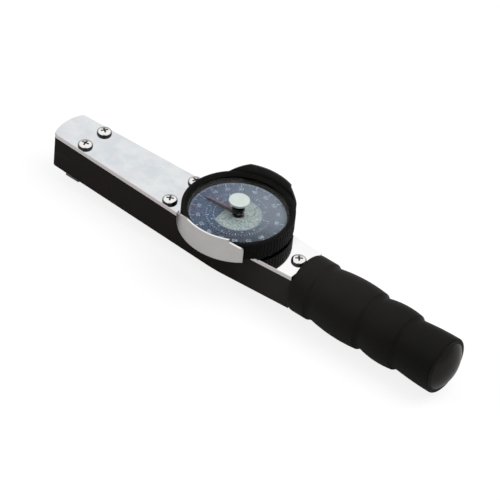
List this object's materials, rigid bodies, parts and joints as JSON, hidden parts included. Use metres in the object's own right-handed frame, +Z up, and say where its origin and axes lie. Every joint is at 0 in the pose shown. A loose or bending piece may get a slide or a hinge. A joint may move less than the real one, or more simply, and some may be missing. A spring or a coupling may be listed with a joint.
{
  "type": "dial torque wrench",
  "caption": "Hand dial torque wrench: slim channel body with square drive, round ribbed dial between upright guards, pointers, reset knob and grooved rubber grip.",
  "frame": {"origin": "centre of the drive square's end face", "axes": "+X along the tool from the drive to the grip, +Z up through the dial, away from the drive's end"},
  "size_m": [0.2581, 0.0624, 0.0468],
  "materials": {
    "black_paint": "satin black enamel",
    "bright_plate": "bright polished plate",
    "chrome_guard": "bright plated pressing",
    "screw_chrome": "polished",
    "steel": "ground steel",
    "drive_steel": "satin plated steel",
    "spring_steel": "blued spring steel",
    "bronze": "sintered bronze",
    "brass": "turned brass",
    "case_metal": "cast",
    "bezel_black": "black moulding with ribs",
    "lens_clear": "clear",
    "dial_blue": "blue printed dial",
    "pointer_black": "matt black",
    "pointer_red": "satin red",
    "knob_silver": "satin turned",
    "black_moulding": "gloss black",
    "gasket_black": "matt",
    "grip_rubber": "matt black rubber"
  },
  "bodies": {
    "housing": {"housing": "black_paint", "cover_plate": "bright_plate", "cover_screws": "screw_chrome", "bearing_plate": "steel", "lower_arbor_bush": "bronze", "upper_arbor_bush": "bronze", "reaction_pins": "steel", "movement_pillars": "brass", "movement_plate": "brass", "movement_screws": "steel", "lower_pivot_bush": "bronze", "upper_pivot_bush": "bronze", "hairspring": "spring_steel", "hairspring_stud": "brass", "dial_guard": "chrome_guard", "dial_case": "case_metal", "case_screws": "steel", "rear_block": "case_metal", "block_screws": "steel", "handle_tube": "steel", "tube_pins": "steel", "grip": "grip_rubber", "end_cap": "black_moulding"},
    "drive": {"drive_arbor": "drive_steel", "spring_beam": "spring_steel", "beam_dowels": "steel", "indicator_arm": "steel", "arm_screws": "steel", "sector_gear": "brass", "sector_rivets": "steel", "detent_spring": "spring_steel"},
    "ball": {"detent_ball": "steel"},
    "pointer": {"pinion_shaft": "steel", "hairspring_collet": "brass", "pointer_hub": "brass", "main_pointer": "pointer_black"},
    "bezel": {"bezel_ring": "bezel_black", "face_ring": "spring_steel", "bezel_clip": "spring_steel", "dial_face": "dial_blue", "lens_gasket": "gasket_black", "lens": "lens_clear", "stem_bush": "black_moulding"},
    "knob": {"knob_stem": "black_moulding", "reset_knob": "knob_silver", "memory_pointer": "pointer_red"}
  },
  "joints": [
    {"name": "drive_turn", "type": "hinge", "parent": "housing", "child": "drive", "pos_m": [0, 0, 0.009], "axis": [0, 0, 1], "range_deg": [-3.4, 3.4], "stiffness_Nm_per_rad": 2, "deforming": ["spring_beam"]},
    {"name": "pointer_turn", "type": "hinge", "parent": "housing", "child": "pointer", "pos_m": [0.1071, 0, 0.03], "axis": [0, 0, 1], "range_deg": [-170, 170], "deforming": ["hairspring"]},
    {"name": "bezel_turn", "type": "hinge", "parent": "housing", "child": "bezel", "pos_m": [0.1071, 0, 0.035], "axis": [0, 0, 1], "continuous": true},
    {"name": "knob_turn", "type": "hinge", "parent": "bezel", "child": "knob", "pos_m": [0.1071, 0, 0.042], "axis": [0, 0, 1], "continuous": true},
    {"name": "detent_slide", "type": "slide", "parent": "drive", "child": "ball", "axis": [-1, 0, 0], "range_m": [0, 0.0007], "stiffness_N_per_m": 40, "deforming": ["detent_spring"]}
  ],
  "couplings": [
    {"joint": "pointer_turn", "follows": "drive_turn", "ratio": -50}
  ]
}
